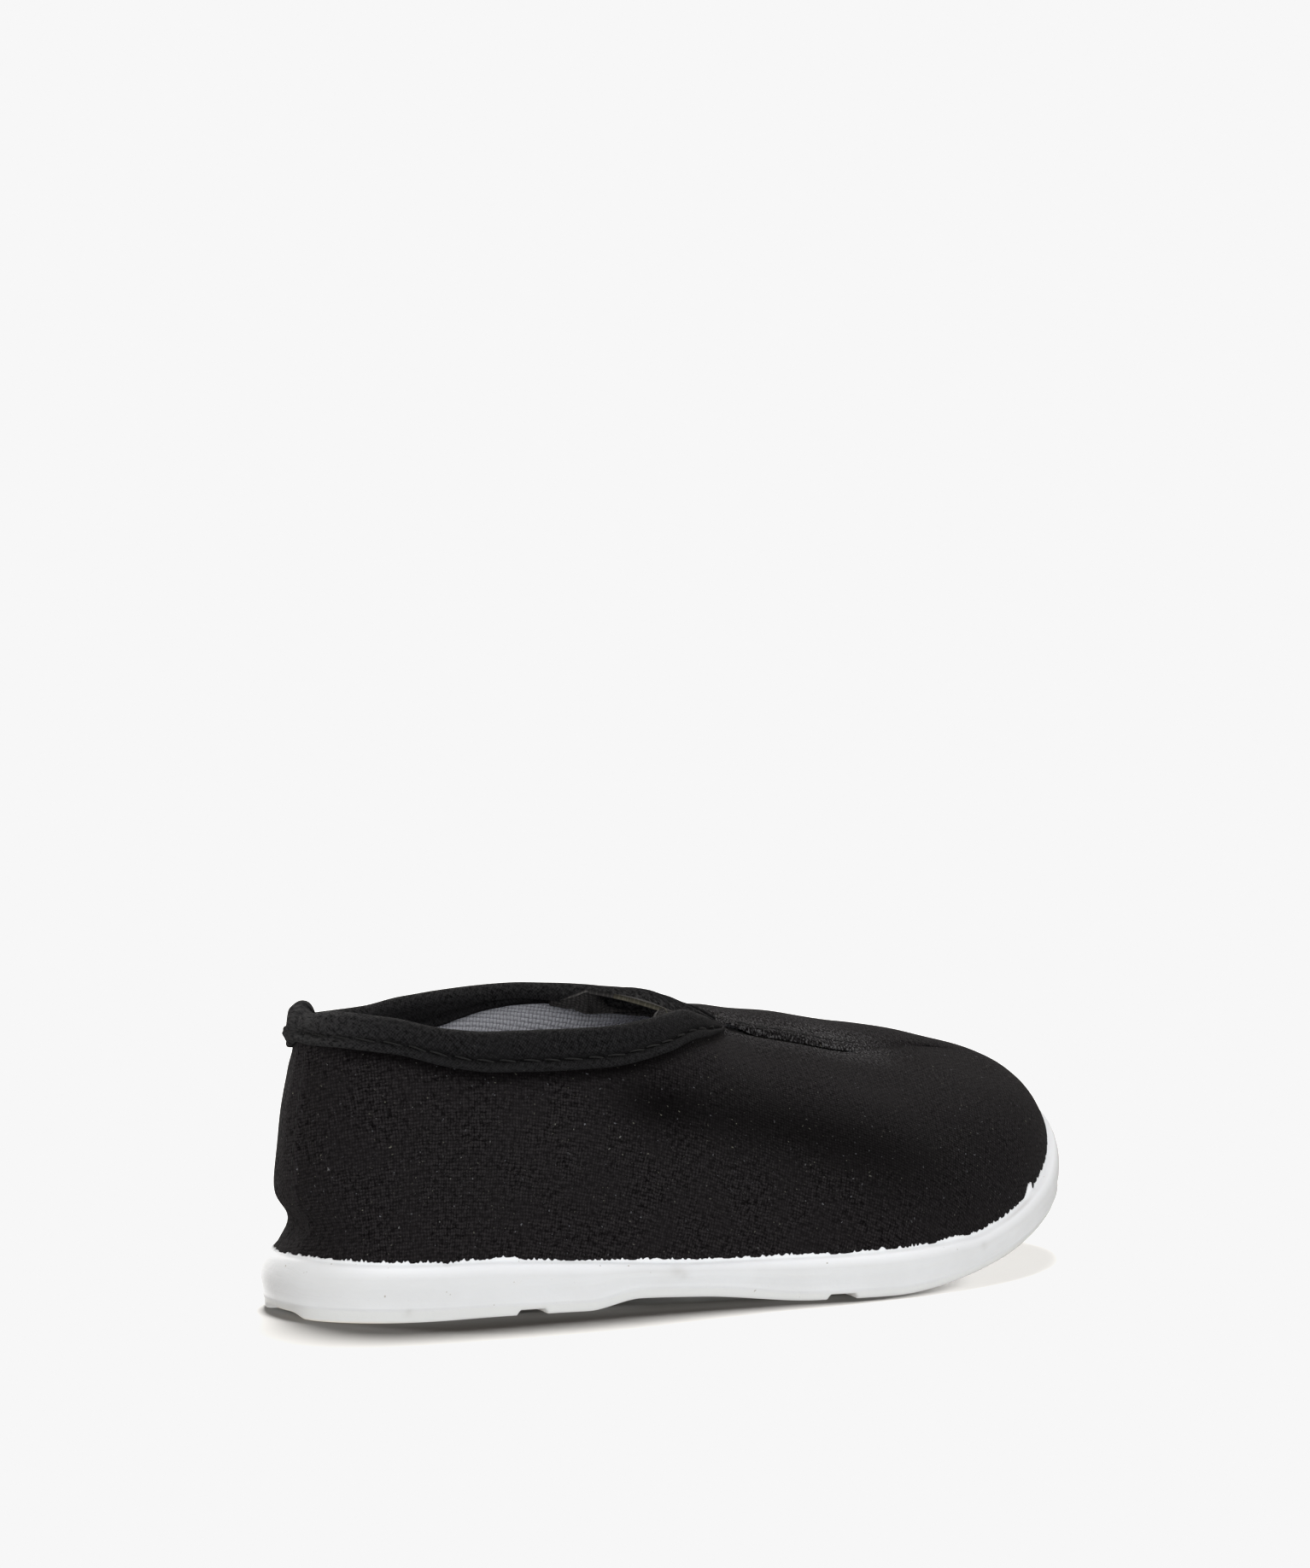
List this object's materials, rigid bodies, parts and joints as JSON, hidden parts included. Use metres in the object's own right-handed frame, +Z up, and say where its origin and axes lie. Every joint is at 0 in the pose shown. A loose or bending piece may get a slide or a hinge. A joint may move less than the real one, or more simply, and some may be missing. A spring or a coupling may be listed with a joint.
{
  "type": "canvas gym slipper",
  "caption": "Child's right slip-on gym slipper: hollow canvas upper with a bound collar and an elastic gusset under its V, set in a moulded sole with heel pad, arch and toe spring.",
  "frame": {"origin": "on the floor, in the middle of the sole's length and width", "axes": "+X from heel to toe, +Y to the wearer's left (the inner side of this right shoe), +Z up"},
  "size_m": [0.165, 0.0696, 0.0541],
  "materials": {
    "outsole": "satin",
    "upper": "matte",
    "collar_binding": "matte",
    "throat_gusset": "matte",
    "insole": "matte"
  },
  "bodies": {
    "root": {"outsole": "outsole", "upper": "upper", "collar_binding": "collar_binding", "throat_gusset": "throat_gusset", "insole": "insole"}
  },
  "joints": []
}
